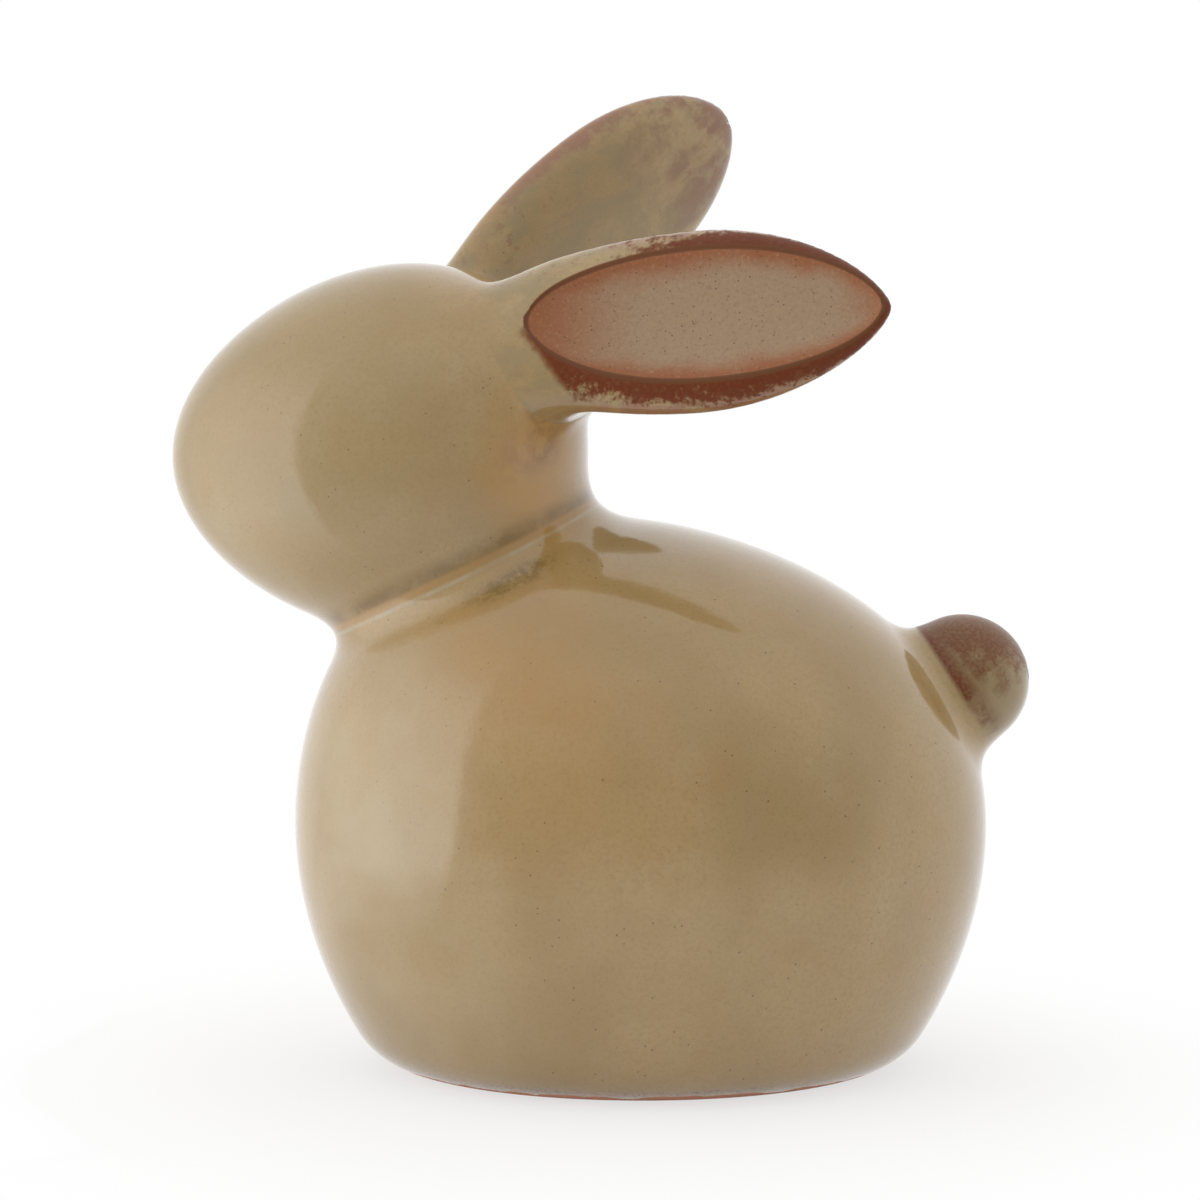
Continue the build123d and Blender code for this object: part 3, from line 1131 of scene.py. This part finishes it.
def ear_burn(g, along, upper, front, streak):
    """Return how burnt the ears are: round the dish and over the tip, ragged at the root."""
    lower = g.times(g.span(upper, *BURN_LOWER), g.span(along, *BURN_LOWER_ALONG))
    inner = g.plus(front, g.span(streak, *BURN_STREAKS), g.span(along, *BURN_TIP), g.patches(*BURN_RAGGED))
    inner = g.span(g.maths("SUBTRACT", inner, lower), *BURN_EDGE)
    start = g.plus(g.span(upper, *BURN_START_LOWER), g.span(upper, *BURN_START_UPPER))
    wander = g.times(g.patches(*BURN_WANDER), g.span(upper, *BURN_WANDER_UPPER))
    past = g.maths("SUBTRACT", g.plus(along, wander), start)
    begun = g.span(g.times(past, g.span(upper, *BURN_FIRM)), *BURN_START)
    away = g.span(g.mark("trunk"), *BURN_AWAY)
    return g.times(inner, begun, away, g.patches(*BURN_GRAIN))


def ear_glaze():
    """Return the glaze of the ears: khaki, rusty at the edge and burnt red round the dish."""
    g = Graph(bpy.data.materials.new("ear_glaze"))
    along, upper, front = (g.mark(key) for key in ("along", "upper", "front"))
    streak = g.streaks(along, front)
    colour = ear_khaki(g, along, upper, streak)
    burnt = ear_burn(g, along, upper, front, streak)
    outline = g.span(g.mark("dish"), *DISH_OUTLINE)
    colour = g.mix(burnt, colour, BRICK)
    colour = g.mix(outline, colour, OUTLINE)
    dry = g.most(g.span(burnt, *BURN_DRY), outline)
    return g.glaze(colour, dry, *EAR_FINISH)


def tail_glaze():
    """Return the glaze of the tail, burnt red on the crown of the ball and along its joint."""
    g = Graph(bpy.data.materials.new("tail_glaze"))
    trunk = g.mark("trunk")
    height = g.plus(g.mark("height"), g.patches(*TAIL_UNEVEN))
    colour = g.mix(g.span(trunk, *TAIL_OLIVE), glaze_base(g), OLIVE)
    joint = g.times(g.span(trunk, *TAIL_JOINT), g.span(height, *TAIL_JOINT_HEIGHT))
    crown = g.most(g.span(height, *TAIL_CROWN), joint)
    burnt = g.times(crown, g.span(trunk, *TAIL_AWAY), g.patches(*TAIL_GRAIN))
    colour = g.mix(burnt, colour, BRICK)
    return g.glaze(colour, g.span(burnt, *BURN_DRY), *TAIL_FINISH)


def inset_clay():
    """Return the bare speckled clay in the ears, warmer towards its edge and root."""
    g = Graph(bpy.data.materials.new("inset_clay"))
    dish = g.mark("dish")
    grain = g.noise(*CLAY_NOISE)
    depth = g.plus(dish, g.patches(*CLAY_UNEVEN))
    warm = g.most(g.span(depth, *CLAY_WARM), g.span(g.mark("along"), *CLAY_WARM_ROOT))
    colour = g.mix(warm, INSET_CLAY, INSET_EDGE)
    colour = g.mix(g.span(grain, *CLAY_PALE), colour, PALE_TAN_AND_SHEEN)
    colour = g.mix(g.span(grain, *CLAY_DARK), colour, BROWN)
    colour = g.mix(g.specks(*CLAY_SOOT), colour, SOOT)
    colour = g.mix(g.specks(*CLAY_BROWN), colour, BROWN)
    colour = g.mix(g.span(dish, *CLAY_RIM), colour, OUTLINE)
    return g.shade(colour, g.span(grain, *CLAY_ROUGH), grain, CLAY_DEPTH, CLAY_COAT, CLAY_GLOSS)


def build_rabbit():
    """Add the dressed pieces."""
    points, faces, tags = split_rabbit()
    skins = {tag: take(points, faces[tags == tag]) for tag in np.unique(tags)}
    glaze = body_glaze()
    ears_glaze = ear_glaze()
    burnt_glaze = tail_glaze()
    clay = inset_clay()
    add_piece("body", "body_casting", *body_piece(*skins["body_casting"]), glaze, "glaze")
    add_piece("head", "head_casting", *head_piece(*skins["head_casting"]), glaze, "glaze")
    add_piece("tail_ball", "tail", *tail_piece(*skins["tail"]), burnt_glaze, "ear_glaze")
    for name in EARS:
        inset = skins[f"{name}_inset"]
        lining = sheet(*inset, INSET - INSET_CLEARANCE)
        add_piece(f"{name}_leaf", name, *ear_piece(*skins[name], *inset), ears_glaze, "ear_glaze")
        add_piece(f"{name}_lining", f"{name}_inset", *lining, clay, "inset_clay")
    lutes = {"neck": glaze, "left_ear": ears_glaze, "right_ear": ears_glaze, "tail": burnt_glaze}
    for name, material in lutes.items():
        lute = sheet(*skins[f"{name}_slip"], SLIP)
        add_piece(f"{name}_lute", f"{name}_slip", *lute, material, "slip")


def add_sheet(name, rows, material):
    """Add a studio sheet through rows of points in metres."""
    mesh = bpy.data.meshes.new(name)
    wide = len(rows[0])
    starts = [r * wide + c for r in range(len(rows) - 1) for c in range(wide - 1)]
    quads = [(at, at + 1, at + wide + 1, at + wide) for at in starts]
    mesh.from_pydata([point for row in rows for point in row], [], quads)
    mesh.materials.append(material)
    sheet_object = bpy.data.objects.new(name, mesh)
    bpy.context.scene.collection.objects.link(sheet_object)
    return sheet_object


def sweep_point(bearing, far, up):
    """Return the point at a bearing from the camera's side, a distance and a height."""
    return far * sin(radians(bearing)), -far * cos(radians(bearing)), up


def light_sweep(name, columns, rows):
    """Add a glowing sheet that sweeps up round the object and that the camera does not see."""
    g = Graph(bpy.data.materials.new(name))
    glow = g.add("ShaderNodeEmission", {"Strength": g.mark("level")})
    g.add("ShaderNodeOutputMaterial", {"Surface": glow.outputs[0]})
    points = [[sweep_point(bearing, far, up) for bearing, _ in columns] for far, up, _ in rows]
    levels = [1.0 + share * (level - 1.0) for _, _, share in rows for _, level in columns]
    sweep = add_sheet(name, points, g.owner)
    sweep.data.attributes.new("level", "FLOAT", "POINT").data.foreach_set("value", levels)
    sweep.visible_camera = False


def floor_material():
    """Return a white floor that keeps a soft shadow near the object and is plain white further off."""
    g = Graph(bpy.data.materials.new("white_floor"))
    matt = g.add("ShaderNodeBsdfDiffuse", {"Color": FLOOR_WHITE})
    glow = g.add("ShaderNodeEmission")
    far = g.add("ShaderNodeVectorMath", {0: g.place}, operation="LENGTH").outputs["Value"]
    share = g.times(g.seen_white(), g.span(far, *FLOOR_PLAIN))
    blend = g.add("ShaderNodeMixShader", {0: share, 1: matt.outputs[0], 2: glow.outputs[0]})
    g.add("ShaderNodeOutputMaterial", {"Surface": blend.outputs[0]})
    return g.owner


def build_surround():
    """Light the scene from all round, brighter above, with plain white behind the object."""
    world = bpy.data.worlds.new("surround")
    bpy.context.scene.world = world
    g = Graph(world)
    rise = g.add("ShaderNodeSeparateXYZ", {0: g.coordinates.outputs["Generated"]}).outputs["Z"]
    level = g.span(rise, *SKY_LEVEL, ease="LINEAR")
    light = g.add("ShaderNodeBackground", {"Color": WHITE, "Strength": level})
    white = g.add("ShaderNodeBackground", {"Color": WHITE})
    blend = g.add("ShaderNodeMixShader", {0: g.seen_white(), 1: light.outputs[0], 2: white.outputs[0]})
    g.add("ShaderNodeOutputWorld", {"Surface": blend.outputs[0]})


def build_studio():
    """Add the floor, a bright sheet that sweeps up on the left and a dim one in front."""
    ends = (-FLOOR_REACH, FLOOR_REACH)
    add_sheet("floor", [[(x, y, 0.0) for x in ends] for y in ends], floor_material())
    light_sweep("left_sheet", LEFT_COLUMNS, LEFT_ROWS)
    light_sweep("front_sheet", FRONT_COLUMNS, FRONT_ROWS)
    build_surround()


def build_camera():
    """Add the camera where the photograph was taken from."""
    data = bpy.data.cameras.new("camera")
    data.sensor_width = CAMERA_SENSOR
    data.lens = CAMERA_LENS
    camera = bpy.data.objects.new("camera", data)
    bpy.context.scene.collection.objects.link(camera)
    camera.location = (CAMERA_X * MM, -CAMERA_DISTANCE * MM, CAMERA_HEIGHT * MM)
    camera.rotation_euler = (atan2(CAMERA_DISTANCE, CAMERA_HEIGHT - CAMERA_AIM), 0.0, 0.0)
    bpy.context.scene.camera = camera


build_rabbit()
build_studio()
build_camera()
bpy.context.scene.view_settings.view_transform = "Standard"
